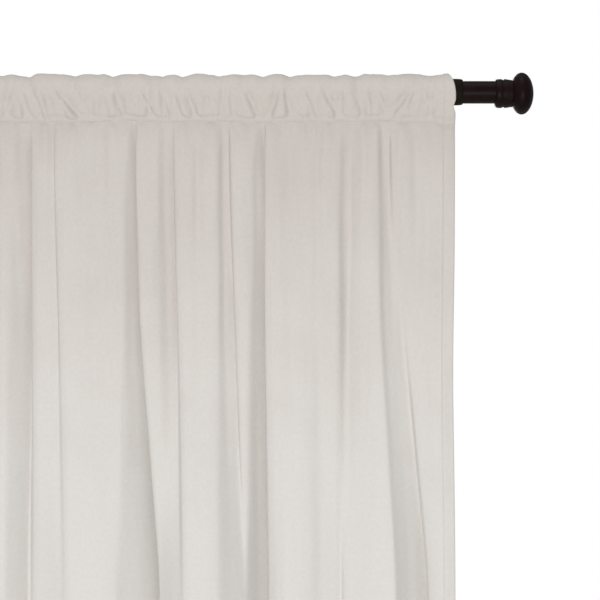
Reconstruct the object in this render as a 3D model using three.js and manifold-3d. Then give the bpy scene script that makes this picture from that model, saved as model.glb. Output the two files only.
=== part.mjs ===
// A gathered velvet curtain panel hanging by its rod pocket on a telescoping metal rod
// with a bun-shaped end cap at each end.
// Millimetres. +X runs along the rod to the end that extends, +Y points away from the room
// and +Z is up. The origin is on the rod's axis, in the middle of the outer tube.

import * as THREE from 'three';
import { mergeVertices } from 'three/addons/utils/BufferGeometryUtils.js';
import Module from 'manifold-3d';

const wasm = await Module();
wasm.setup();

// ---------- driving dimensions ----------

const GAP = 0.3; // clearance between pieces that touch on the real object
const ROUND = 32; // facets round a turned piece
const SHARP_ROUND = 12; // facets round a small screw or stud

const TUBE_WALL = 1.0;
const OUTER_TUBE_R = 31.75 / 2; // 1 1/4 in tube
const OUTER_TUBE_LENGTH = 914.4; // 36 in
const INNER_TUBE_R = 28.575 / 2; // 1 1/8 in tube
const INNER_TUBE_SHOWN = 60; // how far it reaches past the outer tube, its end in the cap included
const INNER_TUBE_OVERLAP = 720; // how much of it is inside the outer tube
const INNER_TUBE_DROP = 0.28; // it lies on the bottom of the outer tube's bore

const RING_R = 16.8;
const RING_SKIRT = 11; // how far the mouth ring reaches back over the outer tube
const RING_LIP = 3;

const COLLAR_R = 18.35;
const COLLAR_LENGTH = 21.5;
const COLLAR_NECK_R = 17.2;
const SOCKET_R = OUTER_TUBE_R + GAP; // one socket size serves both tubes
const SOCKET_DEPTH = 16;
const TUBE_IN_SOCKET = 15.4;
const GROOVE_AT = 10;
const GROOVE_WIDTH = 3;
const GROOVE_DEPTH = 0.9;
const KNOB_R = 26.6;
const KNOB_HALF_LENGTH = 15.1;
const KNOB_CENTRE = 33.5; // from the collar's open end
const STUD_R = 2.7;
const STUD_START = 14;
const STUD_END = 34;
const SCREW_R = 1.9;
const SCREW_AT = 5; // from the collar's open end
const SCREW_KEY_R = 1.1;
const SCREW_KEY_DEPTH = 1.6;

const PANEL_LEFT = -419; // outer edge of the left side hem
const PANEL_RIGHT = 450.9; // outer edge of the right side hem
const POCKET_TOP = 24;
const PANEL_LENGTH = 2134; // 84 in, from the top of the pocket to the bottom hem
const SIDE_HEM = 16; // as it hangs: 19 mm of cloth at an angle
const BOTTOM_HEM = 102; // 4 in
const CLOTH = 2.2; // velvet with its pile
const SIDE_HEM_THICKNESS = 4.4;
const BOTTOM_HEM_THICKNESS = 5.5;

const POCKET_INSIDE_R = 18.5;
const POCKET_APEX = -30; // where the front and back of the pocket meet inside
const SEAM_BOTTOM = -41;
const SEAM_HALF_THICKNESS = 2.6;
const THREAD = 0.8;
const STAND_OFF = 1.2; // a stitch or label lies this far clear of a side hem's folds
const SEAM_LINE = -38.7;
const HEM_STITCH_IN = 3; // from a hem's folded edge to its stitches

const LABEL_WIDTH = 14;
const LABEL_HEIGHT = 40;
const LABEL_THICKNESS = 0.5;
const LABEL_RAISED = 260; // its lower edge above the bottom of the panel

// Deep valleys between the main folds, as distances along the rod at the bottom of the panel.
const VALLEYS = [-545, -396, -247, -96, 64, 206, 396, 505];
const MAIN_FOLD_DEPTH = 31; // half of front to back, low on the panel
const MAIN_FOLD_GROWTH = 520; // how far down they take to open
const GATHER_PITCH = 47;
const GATHER_DEPTH = 8;
const GATHER_FADE = 330;
const SEAM_RELEASE = 70; // below the seam the cloth needs this much to leave the flat
const FOLD_COLUMNS = 84;
const FOLD_ROWS = 9;
const SIDE_HEM_ROWS = 14;

const BOTTOM = POCKET_TOP - PANEL_LENGTH;
const LEFT_HEM_LINE = PANEL_LEFT + SIDE_HEM;
const RIGHT_HEM_LINE = PANEL_RIGHT - SIDE_HEM;
const BOTTOM_HEM_TOP = BOTTOM + BOTTOM_HEM;
const OUTER_END = OUTER_TUBE_LENGTH / 2;
const INNER_END = OUTER_END + INNER_TUBE_SHOWN;
const RIGHT_CAP_X = INNER_END - TUBE_IN_SOCKET;
const LEFT_CAP_X = -OUTER_END + TUBE_IN_SOCKET;
const SOCKET_SLACK = SOCKET_R - INNER_TUBE_R - GAP; // the screw lifts the thinner tube this far
const RIGHT_CAP_Z = -INNER_TUBE_DROP - SOCKET_SLACK;

// ---------- materials ----------

const bronze = () => new THREE.MeshStandardMaterial({ color: 0x33241f, roughness: 0.42, metalness: 0.7 });
const paintedResin = () => new THREE.MeshStandardMaterial({ color: 0x33241f, roughness: 0.45, metalness: 0.3 });
const blackPlastic = () => new THREE.MeshStandardMaterial({ color: 0x14130f, roughness: 0.5, metalness: 0 });
const steel = () => new THREE.MeshStandardMaterial({ color: 0x4a4a4c, roughness: 0.35, metalness: 1 });
const velvet = () => new THREE.MeshStandardMaterial({ color: 0xd6d0c8, roughness: 0.9, metalness: 0 });
const thread = () => new THREE.MeshStandardMaterial({ color: 0xcfc8be, roughness: 0.7, metalness: 0 });
const satin = () => new THREE.MeshStandardMaterial({ color: 0xf2f1ee, roughness: 0.5, metalness: 0 });

// ---------- helpers ----------

/** Closes a geometry by merging the vertices that share a place. */
function weld(geometry) {
  geometry.deleteAttribute('normal');
  geometry.deleteAttribute('uv');
  return mergeVertices(geometry, 1e-4);
}

function toSolid(geometry) {
  const welded = weld(geometry);
  return new wasm.Manifold(new wasm.Mesh({
    numProp: 3,
    vertProperties: new Float32Array(welded.attributes.position.array),
    triVerts: new Uint32Array(welded.index.array),
  }));
}

function toGeometry(solid) {
  const { vertProperties, triVerts } = solid.getMesh();
  const geometry = new THREE.BufferGeometry();
  geometry.setAttribute('position', new THREE.BufferAttribute(vertProperties, 3));
  geometry.setIndex(new THREE.BufferAttribute(triVerts, 1));
  geometry.computeVertexNormals();
  return geometry;
}

function add(group, name, geometry, material) {
  const mesh = new THREE.Mesh(geometry, material);
  mesh.name = name;
  group.add(mesh);
  return mesh;
}

/** A turned piece about the +Y axis, from [radius, height] corners listed anticlockwise. */
function turned(corners, facets = ROUND) {
  const outline = [...corners, corners[0]].map(([radius, height]) => new THREE.Vector2(radius, height));
  return weld(new THREE.LatheGeometry(outline, facets));
}

function tube(radius, start, end) {
  const inside = radius - TUBE_WALL;
  return turned([[inside, start], [radius, start], [radius, end], [inside, end]]);
}

/** A plain rod about the +Y axis; a lathe outline that starts and ends on the axis. */
function pin(radius, start, end, facets = SHARP_ROUND) {
  const outline = [[0, start], [radius, start], [radius, end], [0, end]];
  return weld(new THREE.LatheGeometry(outline.map((p) => new THREE.Vector2(...p)), facets));
}

/** A group whose +Y axis runs along the rod: direction 1 is towards +X and -1 towards -X. */
function alongRod(direction, x, z) {
  const group = new THREE.Group();
  group.position.set(x, 0, z);
  group.rotation.z = -direction * Math.PI / 2;
  return group;
}

const smooth = (t) => {
  const u = THREE.MathUtils.clamp(t, 0, 1);
  return u * u * (3 - 2 * u);
};

/** How far into its fold the cloth is at x: a whole number in each valley, a half on each crest. */
function foldPhase(x) {
  const i = VALLEYS.findIndex((valley) => x < valley) - 1;
  return i + (x - VALLEYS[i]) / (VALLEYS[i + 1] - VALLEYS[i]);
}

/** The cloth's distance behind the rod's axis, from the gathers at the seam to the main folds below. */
function foldDepth(x, z) {
  const drop = SEAM_BOTTOM - z;
  const release = smooth(drop / SEAM_RELEASE);
  const mainFold = MAIN_FOLD_DEPTH * smooth(drop / MAIN_FOLD_GROWTH) * Math.cos(2 * Math.PI * foldPhase(x));
  const gather = GATHER_DEPTH * release * Math.exp(-Math.max(drop, 0) / GATHER_FADE);
  return mainFold + gather * Math.cos(2 * Math.PI * x / GATHER_PITCH);
}

/** A hanging strip of cloth: a slab from x0 to x1 and z0 down to z1, laid into the folds. */
function drape(x0, x1, z0, z1, thickness, columns, rows, offset = 0) {
  const slab = new THREE.BoxGeometry(x1 - x0, thickness, 1, columns, 1, rows);
  const place = slab.attributes.position;
  for (let i = 0; i < place.count; i += 1) {
    const x = (x0 + x1) / 2 + place.getX(i);
    const down = (0.5 - place.getZ(i)) ** (rows > 1 ? 1.7 : 1);
    const z = z0 + (z1 - z0) * down;
    place.setXYZ(i, x, place.getY(i) + foldDepth(x, z) + offset, z);
  }
  return weld(slab);
}

// ---------- the rod ----------

function makeOuterTube(group) {
  const axis = alongRod(1, 0, 0);
  add(axis, 'outer_tube', tube(OUTER_TUBE_R, -OUTER_END, OUTER_END), bronze());
  group.add(axis);
}

function makeInnerTube(group) {
  const axis = alongRod(1, 0, -INNER_TUBE_DROP);
  add(axis, 'inner_tube', tube(INNER_TUBE_R, OUTER_END - INNER_TUBE_OVERLAP, INNER_END), bronze());
  group.add(axis);
}

/** The plastic ring pushed over the outer tube's mouth, with a rounded lip in front of the raw edge. */
function makeMouthRing(group) {
  const skirtR = OUTER_TUBE_R + GAP;
  const lipR = INNER_TUBE_R + INNER_TUBE_DROP + GAP;
  const back = OUTER_END - RING_SKIRT;
  const step = OUTER_END + GAP;
  const front = step + RING_LIP;
  const axis = alongRod(1, 0, 0);
  add(axis, 'tube_mouth_ring', turned([
    [skirtR, back], [RING_R - 0.3, back], [RING_R, back + 1],
    [RING_R, front - 1.2], [RING_R - 0.4, front - 0.4], [RING_R - 1.1, front],
    [lipR, front], [lipR, step], [skirtR, step],
  ]), blackPlastic());
  group.add(axis);
}

// ---------- the end caps ----------

/** The socket that slips over a tube's end, with a bead, a groove and a tapered neck. */
function makeCollar() {
  const body = turned([
    [SOCKET_R, 0], [COLLAR_R - 0.9, 0], [COLLAR_R - 0.2, 1.2], [COLLAR_R, 3],
    [COLLAR_R, GROOVE_AT - 0.6], [COLLAR_R - GROOVE_DEPTH, GROOVE_AT],
    [COLLAR_R - GROOVE_DEPTH, GROOVE_AT + GROOVE_WIDTH], [COLLAR_R, GROOVE_AT + GROOVE_WIDTH + 0.6],
    [COLLAR_NECK_R, COLLAR_LENGTH], [STUD_R + GAP, COLLAR_LENGTH],
    [STUD_R + GAP, SOCKET_DEPTH], [SOCKET_R, SOCKET_DEPTH],
  ]);
  const hole = pin(SCREW_R + GAP, 0, COLLAR_R * 2);
  hole.rotateX(-Math.PI / 2);
  hole.translate(0, SCREW_AT, 0);
  return toGeometry(toSolid(body).subtract(toSolid(hole)));
}

/** The bun-shaped knob: a flattened ball cut off flat against the collar, with a blind hole for the stud. */
function makeKnob() {
  const flatAt = COLLAR_LENGTH + GAP;
  const startAngle = Math.asin((flatAt - KNOB_CENTRE) / KNOB_HALF_LENGTH);
  const steps = 11;
  const outline = [[0, STUD_END + GAP], [STUD_R + GAP, STUD_END + GAP], [STUD_R + GAP, flatAt]];
  for (let i = 0; i < steps; i += 1) {
    const angle = THREE.MathUtils.lerp(startAngle, Math.PI / 2, i / steps);
    outline.push([KNOB_R * Math.cos(angle), KNOB_CENTRE + KNOB_HALF_LENGTH * Math.sin(angle)]);
  }
  outline.push([0, KNOB_CENTRE + KNOB_HALF_LENGTH]);
  return weld(new THREE.LatheGeometry(outline.map((p) => new THREE.Vector2(...p)), ROUND));
}

/** The grub screw under the collar, from the tube's underside out to the collar's skin. */
function makeGrubScrew(tubeBelowAxis) {
  const head = COLLAR_R - GAP;
  const body = toSolid(pin(SCREW_R, tubeBelowAxis + GAP, head));
  const key = toSolid(pin(SCREW_KEY_R, head - SCREW_KEY_DEPTH, head + 1, 6));
  const screw = toGeometry(body.subtract(key));
  screw.rotateX(-Math.PI / 2);
  screw.translate(0, SCREW_AT, 0);
  return screw;
}

function makeCap(group, name, direction, x, z, tubeBelowAxis) {
  const axis = alongRod(direction, x, z);
  add(axis, `${name}_cap_collar`, makeCollar(), bronze());
  add(axis, `${name}_cap_knob`, makeKnob(), paintedResin());
  add(axis, `${name}_cap_stud`, pin(STUD_R, STUD_START, STUD_END), steel());
  add(axis, `${name}_grub_screw`, makeGrubScrew(tubeBelowAxis), steel());
  group.add(axis);
}

// ---------- the curtain ----------

/** The angle on a circle where a straight side that hangs down to the point (y, z) leaves it. */
const tangentAngle = (radius, y, z) => Math.atan2(z, y) + Math.acos(radius / Math.hypot(y, z));

/** The pocket's teardrop round the rod, with the seam band below it, from x0 to x1. */
function pocketLoop(x0, x1) {
  const outline = new THREE.Shape();
  const touch = tangentAngle(POCKET_TOP, SEAM_HALF_THICKNESS, POCKET_APEX);
  outline.absarc(0, 0, POCKET_TOP, touch, Math.PI - touch, false);
  outline.lineTo(-SEAM_HALF_THICKNESS, POCKET_APEX);
  outline.lineTo(-SEAM_HALF_THICKNESS, SEAM_BOTTOM);
  outline.lineTo(SEAM_HALF_THICKNESS, SEAM_BOTTOM);
  outline.lineTo(SEAM_HALF_THICKNESS, POCKET_APEX);
  const inside = new THREE.Path();
  const insideTouch = tangentAngle(POCKET_INSIDE_R, 0, POCKET_APEX);
  inside.absarc(0, 0, POCKET_INSIDE_R, insideTouch, Math.PI - insideTouch, false);
  inside.lineTo(0, POCKET_APEX);
  outline.holes.push(inside);
  const loop = new THREE.ExtrudeGeometry(outline, { depth: x1 - x0, bevelEnabled: false, curveSegments: 20 });
  loop.applyMatrix4(new THREE.Matrix4().makeBasis(
    new THREE.Vector3(0, 1, 0), new THREE.Vector3(0, 0, 1), new THREE.Vector3(1, 0, 0),
  ));
  loop.translate(x0, 0, 0);
  return loop;
}

function makePocket(group) {
  const geometry = weld(pocketLoop(LEFT_HEM_LINE + GAP, RIGHT_HEM_LINE - GAP));
  add(group, 'rod_pocket', geometry, velvet());
}

function makePanel(group) {
  const geometry = drape(
    LEFT_HEM_LINE + GAP, RIGHT_HEM_LINE - GAP,
    SEAM_BOTTOM - GAP, BOTTOM_HEM_TOP + GAP, CLOTH, FOLD_COLUMNS, FOLD_ROWS,
  );
  add(group, 'velvet_panel', geometry, velvet());
}

function makeBottomHem(group) {
  const geometry = drape(
    LEFT_HEM_LINE + GAP, RIGHT_HEM_LINE - GAP,
    BOTTOM_HEM_TOP, BOTTOM, BOTTOM_HEM_THICKNESS, FOLD_COLUMNS, 1,
  );
  add(group, 'bottom_hem', geometry, velvet());
}

/** The hemmed end of the pocket, level with the side hem below it. */
function makePocketEnd(group, name, x0, x1) {
  add(group, name, weld(pocketLoop(x0, x1)), velvet());
}

/** A side hem is doubled cloth from the pocket's seam down to the bottom. */
function makeSideHem(group, name, x0, x1) {
  const geometry = drape(x0, x1, SEAM_BOTTOM - GAP, BOTTOM, SIDE_HEM_THICKNESS, 2, SIDE_HEM_ROWS);
  add(group, name, geometry, velvet());
}

/** The row of stitches that closes the pocket, on the front of the seam band. */
function makeSeamThread(group) {
  const length = RIGHT_HEM_LINE - LEFT_HEM_LINE - 2 * GAP;
  const geometry = new THREE.BoxGeometry(length, THREAD, THREAD);
  geometry.translate((RIGHT_HEM_LINE + LEFT_HEM_LINE) / 2, 0, SEAM_LINE);
  geometry.translate(0, -SEAM_HALF_THICKNESS - GAP - THREAD / 2, 0);
  add(group, 'pocket_seam_thread', weld(geometry), thread());
}

function makeBottomThread(group) {
  const inFront = -BOTTOM_HEM_THICKNESS / 2 - GAP - THREAD / 2;
  const z = BOTTOM_HEM_TOP - HEM_STITCH_IN;
  const geometry = drape(
    LEFT_HEM_LINE + GAP, RIGHT_HEM_LINE - GAP,
    z, z - THREAD, THREAD, FOLD_COLUMNS, 1, inFront,
  );
  add(group, 'bottom_hem_thread', geometry, thread());
}

/** The stitches of a side hem run down its inner edge, on the front. */
function makeSideThread(group, name, hemLine, outward) {
  const inFront = -SIDE_HEM_THICKNESS / 2 - STAND_OFF - THREAD / 2;
  const x = hemLine + outward * HEM_STITCH_IN;
  const geometry = drape(
    x - THREAD / 2, x + THREAD / 2, SEAM_BOTTOM - GAP, BOTTOM + 2 * GAP, THREAD, 1, SIDE_HEM_ROWS, inFront,
  );
  add(group, name, geometry, thread());
}

/** A blank care label sewn to the back of the left side hem. */
function makeCareLabel(group) {
  const behind = SIDE_HEM_THICKNESS / 2 + STAND_OFF + LABEL_THICKNESS / 2;
  const middle = (PANEL_LEFT + LEFT_HEM_LINE) / 2;
  const low = BOTTOM + LABEL_RAISED;
  const geometry = drape(
    middle - LABEL_WIDTH / 2, middle + LABEL_WIDTH / 2, low + LABEL_HEIGHT, low,
    LABEL_THICKNESS, 2, 1, behind,
  );
  add(group, 'care_label', geometry, satin());
}

// ---------- the whole object ----------

function makeCurtain() {
  const group = new THREE.Group();
  makeOuterTube(group);
  makeInnerTube(group);
  makeMouthRing(group);
  makeCap(group, 'right', 1, RIGHT_CAP_X, RIGHT_CAP_Z, INNER_TUBE_R - SOCKET_SLACK);
  makeCap(group, 'left', -1, LEFT_CAP_X, 0, OUTER_TUBE_R);
  makePocket(group);
  makePanel(group);
  makeBottomHem(group);
  makePocketEnd(group, 'left_pocket_end', PANEL_LEFT, LEFT_HEM_LINE);
  makePocketEnd(group, 'right_pocket_end', RIGHT_HEM_LINE, PANEL_RIGHT);
  makeSideHem(group, 'left_side_hem', PANEL_LEFT, LEFT_HEM_LINE);
  makeSideHem(group, 'right_side_hem', RIGHT_HEM_LINE, PANEL_RIGHT);
  makeSeamThread(group);
  makeBottomThread(group);
  makeSideThread(group, 'left_hem_thread', LEFT_HEM_LINE, -1);
  makeSideThread(group, 'right_hem_thread', RIGHT_HEM_LINE, 1);
  makeCareLabel(group);
  return group;
}

export default makeCurtain();
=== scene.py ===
# %% [markdown]
# A velvet curtain panel, gathered on a telescoping metal rod. The panel hangs by a rod pocket, which is a
# loop sewn along its top edge, and the rod ends in a bun-shaped cap on each side.
# The design is already fixed: it gives the place of every tube, cap and hem. This lesson makes the looks:
# the soft folds, the puckered pocket, the stitches, the pile of the velvet and the paint on the rod.

# %% Load the design
import math

import bmesh
import bpy
import numpy as np
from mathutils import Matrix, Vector


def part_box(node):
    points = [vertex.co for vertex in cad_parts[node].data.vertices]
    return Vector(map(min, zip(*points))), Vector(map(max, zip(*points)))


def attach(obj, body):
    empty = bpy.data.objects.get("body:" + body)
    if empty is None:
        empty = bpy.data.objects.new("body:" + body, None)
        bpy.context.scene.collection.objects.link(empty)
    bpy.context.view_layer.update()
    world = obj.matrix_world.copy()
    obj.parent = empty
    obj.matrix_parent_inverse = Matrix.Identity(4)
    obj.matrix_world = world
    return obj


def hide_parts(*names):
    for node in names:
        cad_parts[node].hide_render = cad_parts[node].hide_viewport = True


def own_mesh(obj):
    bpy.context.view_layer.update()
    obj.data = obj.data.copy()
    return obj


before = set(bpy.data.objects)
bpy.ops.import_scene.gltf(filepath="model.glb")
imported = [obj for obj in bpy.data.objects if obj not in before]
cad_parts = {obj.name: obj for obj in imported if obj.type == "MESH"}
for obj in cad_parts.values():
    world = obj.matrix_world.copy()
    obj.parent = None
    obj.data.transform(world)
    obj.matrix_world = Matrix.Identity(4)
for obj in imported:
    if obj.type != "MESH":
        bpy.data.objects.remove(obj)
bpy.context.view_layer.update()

MM = 0.001

# %% [markdown]
# The camera comes first, because every later choice is judged through it. It looks level at the top right
# corner of the curtain from three metres away, with a long lens, so the rod shows almost no perspective.
# The lens follows from the width that the view should take in at that distance.

# %% Camera
VIEW_WIDTH = 0.762
VIEW_DISTANCE = 3.0
SENSOR = 36.0
view_centre = Vector((0.254, 0.0, -0.264))

bpy.ops.object.select_all(action="DESELECT")
bpy.ops.object.camera_add(
    location=view_centre + Vector((0, -VIEW_DISTANCE, 0)),
    rotation=(math.radians(90), 0, 0),
)
camera = bpy.context.object
camera.data.sensor_width = SENSOR
camera.data.lens = SENSOR * VIEW_DISTANCE / VIEW_WIDTH
camera.data.clip_end = 50
bpy.context.scene.camera = camera
print("lens", round(camera.data.lens, 1), "mm")

# %% [markdown]
# The world is plain white, like a studio with white walls, and fills every fold with soft light. As a light
# it is fairly weak, so that a fold can still turn dark, but seen directly it has to be paper white. A Light
# Path node tells the two apart: rays straight from the camera get the white, all others the weak fill.

# %% World and colour
FILL_STRENGTH = 0.38

scene = bpy.context.scene
scene.view_settings.view_transform = "Standard"
world = bpy.data.worlds.new("studio white")
scene.world = world
world.use_nodes = True
world_tree = world.node_tree
fill = world_tree.nodes["Background"]
fill.inputs["Color"].default_value = (1, 1, 1, 1)
fill.inputs["Strength"].default_value = FILL_STRENGTH
paper = world_tree.nodes.new("ShaderNodeBackground")
paper.inputs["Color"].default_value = (1, 1, 1, 1)
seen_directly = world_tree.nodes.new("ShaderNodeLightPath")
choice = world_tree.nodes.new("ShaderNodeMixShader")
world_tree.links.new(seen_directly.outputs["Is Camera Ray"], choice.inputs[0])
world_tree.links.new(fill.outputs["Background"], choice.inputs[1])
world_tree.links.new(paper.outputs["Background"], choice.inputs[2])
world_tree.links.new(choice.outputs["Shader"], world_tree.nodes["World Output"].inputs["Surface"])
print("fill strength", FILL_STRENGTH)


# %% [markdown]
# Three area lights do the rest. The key light stands in front, a little below the rod, so that cloth facing
# the room is bright, and a fold's flank is darker the further it turns away. The light overhead reaches the
# top of the pocket, and the one behind gives the back of the cloth the same care as the front.

# %% Lights
def soft_light(name, place, aim, size, watts):
    bpy.ops.object.light_add(type="AREA", location=place)
    light = bpy.context.object
    light.name = name
    light.data.shape = "SQUARE"
    light.data.size = size
    light.data.energy = watts
    light.rotation_euler = (Vector(aim) - Vector(place)).to_track_quat("-Z", "Y").to_euler()
    return light


# place, what it is aimed at, width and power
key = soft_light("key light", (0.05, -4.4, -1.15), (0.05, 0, -0.5), 0.8, 144)
above = soft_light("top light", (0.0, -0.5, 2.6), (0.0, -0.5, 0), 2.0, 42)
behind = soft_light("back light", (-0.3, 4.4, 0.1), (0.0, 0, -0.9), 2.2, 130)
print("lights", key.name, above.name, behind.name)

# %% [markdown]
# A pale floor lies under the curtain, with the usual small clearance below the hem. It isn't part of the
# object.

# %% Floor
FLOOR_GAP = 12 * MM
floor_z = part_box("bottom_hem")[0].z - FLOOR_GAP
bpy.ops.mesh.primitive_plane_add(size=6, location=(0, 0, floor_z))
floor = bpy.context.object
floor.name = "floor"
floor_paint = bpy.data.materials.new("pale floor")
floor_paint.use_nodes = True
floor_paint.node_tree.nodes["Principled BSDF"].inputs["Base Color"].default_value = (0.86, 0.86, 0.85, 1)
floor_paint.node_tree.nodes["Principled BSDF"].inputs["Roughness"].default_value = 0.9
floor.data.materials.append(floor_paint)
print("floor at", round(floor_z, 3))


# %% [markdown]
# Materials are built from a few nodes each. A small helper starts one: it makes the shader, sets the values
# that are the same all over, and hands back its nodes and links, so that each recipe below stays short.

# %% Helper: starting a material
def new_material(name, **values):
    material = bpy.data.materials.new(name)
    material.use_nodes = True
    tree = material.node_tree
    shader = tree.nodes["Principled BSDF"]
    for socket, value in values.items():
        shader.inputs[socket.replace("_", " ")].default_value = value
    return material, tree, shader


def add_node(tree, kind, **settings):
    made = tree.nodes.new(kind)
    for key_name, value in settings.items():
        if key_name in made.inputs.keys():
            made.inputs[key_name].default_value = value
        else:
            setattr(made, key_name, value)
    return made


def place_on_cloth(tree):
    """Where a point lies on the flat cloth, in metres across and down."""
    return add_node(tree, "ShaderNodeUVMap", uv_map="cloth").outputs["UV"]


def place_on_object(tree):
    return add_node(tree, "ShaderNodeTexCoord").outputs["Object"]


# %% [markdown]
# More helpers make the patterns: a noise, parallel waves, a ramp that turns a pattern into colours, and
# small sums. A bump node then makes a pattern stand out of the surface.

# %% Helper: patterns
def noise_texture(tree, vector, scale, detail=3.0, roughness=0.5):
    made = add_node(tree, "ShaderNodeTexNoise", Scale=scale, Detail=detail, Roughness=roughness)
    tree.links.new(vector, made.inputs["Vector"])
    return made.outputs["Fac"]


def waves_texture(tree, vector, direction, scale, distortion=0.0):
    made = add_node(
        tree, "ShaderNodeTexWave", bands_direction=direction, Scale=scale, Distortion=distortion,
    )
    tree.links.new(vector, made.inputs["Vector"])
    return made.outputs["Fac"]


def ramp(tree, factor, stops):
    """A colour ramp; stops are (position, colour)."""
    made = add_node(tree, "ShaderNodeValToRGB")
    elements = made.color_ramp.elements
    while len(elements) < len(stops):
        elements.new(0.5)
    for element, (position, colour) in zip(elements, stops):
        element.position = position
        element.color = (*colour, 1)
    tree.links.new(factor, made.inputs["Fac"])
    return made.outputs["Color"]


def arithmetic(tree, operation, first, second):
    made = add_node(tree, "ShaderNodeMath", operation=operation)
    for socket, value in zip(made.inputs, (first, second)):
        if isinstance(value, (int, float)):
            socket.default_value = value
        else:
            tree.links.new(value, socket)
    return made.outputs["Value"]


def scaled(tree, value, factor):
    return arithmetic(tree, "MULTIPLY", value, factor)


def bump(tree, shader, height, strength, distance, before=None):
    """Raises the surface by a pattern, on top of the bump that came before."""
    made = add_node(tree, "ShaderNodeBump", Strength=strength, Distance=distance)
    tree.links.new(height, made.inputs["Height"])
    if before is not None:
        tree.links.new(before, made.inputs["Normal"])
    tree.links.new(made.outputs["Normal"], shader.inputs["Normal"])
    return made.outputs["Normal"]


# %% [markdown]
# Velvet is a woven ground with a dense short pile. The pile leans, and where a hand has brushed it the
# other way it looks lighter or darker, so the colour drifts in soft patches. The colour is also painted
# darker near the top and lighter low down, which is painted shade. Close up, each tuft of pile is a small
# bump of its own, and the colour is painted darker where the pile is low: painted shade between the tufts.
# The pile also catches light at a glancing angle, which the sheen gives. Every pattern here is laid on the
# flat cloth, in metres across and down, so it stays on the cloth when the cloth is folded.

# %% Velvet
# Painted shade: the colour is painted darker near the top of the cloth and lighter low down.
PAINTED_SHADE_DOWN = -1.1  # how fast the cloth grows lighter, for each metre down
NAP_AND_SHADE_START = 0.135
BRUSHED_PATCHES = 5.0  # sizes of the patterns, in waves to a metre
SMUDGES = 21.0
TUFTS = 210.0
PILE = 1500.0


def make_velvet():
    material, tree, shader = new_material(
        "ivory velvet", Roughness=0.95, Sheen_Weight=0.25, Sheen_Roughness=0.45, Specular_IOR_Level=0.15,
    )
    cloth = place_on_cloth(tree)
    split = add_node(tree, "ShaderNodeSeparateXYZ")
    tree.links.new(cloth, split.inputs["Vector"])
    brushed = noise_texture(tree, cloth, BRUSHED_PATCHES, 4.0, 0.55)
    smudge = noise_texture(tree, cloth, SMUDGES, 3.0, 0.6)
    # The colour is painted darker near the top and lighter low down, as painted shade, on top of the brushed
    # patches and smudges.
    nap_and_painted_shade = arithmetic(tree, "ADD", scaled(tree, split.outputs["Y"], PAINTED_SHADE_DOWN), scaled(tree, brushed, 0.42))
    nap_and_painted_shade = arithmetic(tree, "ADD", nap_and_painted_shade, scaled(tree, smudge, 0.16))
    nap_and_painted_shade = arithmetic(tree, "ADD", nap_and_painted_shade, NAP_AND_SHADE_START)
    colour = ramp(tree, nap_and_painted_shade, [
        (0.48, (0.532, 0.495, 0.462)),
        (0.72, (0.580, 0.547, 0.515)),
        (0.98, (0.618, 0.595, 0.569)),
    ])
    pile = noise_texture(tree, cloth, PILE, 2.0, 0.7)
    tufts = noise_texture(tree, cloth, TUFTS, 3.0, 0.6)
    # Painted shade between the tufts: the colour is painted darker where the pile and its tufts are low, the
    # same patterns that the bumps raise.
    pile_relief = arithmetic(tree, "ADD", scaled(tree, pile, 0.7), scaled(tree, tufts, 0.3))
    painted_pile_shade = ramp(tree, pile_relief, [(0.35, (0.87, 0.865, 0.86)), (0.65, (1.0, 1.0, 1.0))])
    shaded = add_node(tree, "ShaderNodeMixRGB", blend_type="MULTIPLY")
    shaded.inputs["Fac"].default_value = 1.0
    tree.links.new(colour, shaded.inputs["Color1"])
    tree.links.new(painted_pile_shade, shaded.inputs["Color2"])
    tree.links.new(shaded.outputs["Color"], shader.inputs["Base Color"])
    tuft_bump = bump(tree, shader, tufts, 0.30, 0.5 * MM)
    bump(tree, shader, pile, 0.45, 0.3 * MM, before=tuft_bump)
    return material


velvet = make_velvet()
print("made", velvet.name)


# %% [markdown]
# The back of the cloth has no pile. It is a plain weave, so two sets of fine waves cross at right angles
# and lift the surface a little, and it has no sheen.

# %% Woven back
WEAVE = 320.0


def make_woven_back():
    material, tree, shader = new_material("woven back", Roughness=0.85, Specular_IOR_Level=0.2)
    cloth = place_on_cloth(tree)
    warp = waves_texture(tree, cloth, "X", WEAVE, 0.6)
    weft = waves_texture(tree, cloth, "Y", WEAVE, 0.6)
    weave = arithmetic(tree, "MAXIMUM", warp, weft)
    slub = noise_texture(tree, cloth, 60.0, 3.0, 0.6)
    colour = ramp(tree, slub, [(0.3, (0.585, 0.550, 0.505)), (0.7, (0.640, 0.607, 0.562))])
    tree.links.new(colour, shader.inputs["Base Color"])
    bump(tree, shader, weave, 0.3, 0.25 * MM)
    return material


woven_back = make_woven_back()
print("made", woven_back.name)


# %% [markdown]
# The small pieces of cloth need two more finishes: polyester thread, twisted so that it has a faint
# diagonal ridge, and the satin of the care label.

# %% Thread and satin
def make_thread():
    material, tree, shader = new_material("sewing thread", Roughness=0.6, Sheen_Weight=0.2)
    twist = waves_texture(tree, place_on_object(tree), "DIAGONAL", 900.0)
    # Painted shade: the colour follows the twist, darker in the grooves between the ridges and lighter on
    # their tops.
    colour = ramp(tree, twist, [(0.2, (0.455, 0.420, 0.390)), (0.8, (0.535, 0.500, 0.468))])
    tree.links.new(colour, shader.inputs["Base Color"])
    bump(tree, shader, twist, 0.3, 0.1 * MM)
    return material


def make_satin():
    material, tree, shader = new_material("label satin", Roughness=0.45, Sheen_Weight=0.3, Anisotropic=0.5)
    rib = waves_texture(tree, place_on_cloth(tree), "Y", 500.0)
    # Painted shade: the colour follows the ribs, darker between them and lighter on their tops.
    colour = ramp(tree, rib, [(0.0, (0.82, 0.81, 0.79)), (1.0, (0.88, 0.87, 0.85))])
    tree.links.new(colour, shader.inputs["Base Color"])
    bump(tree, shader, rib, 0.2, 0.1 * MM)
    return material


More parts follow.
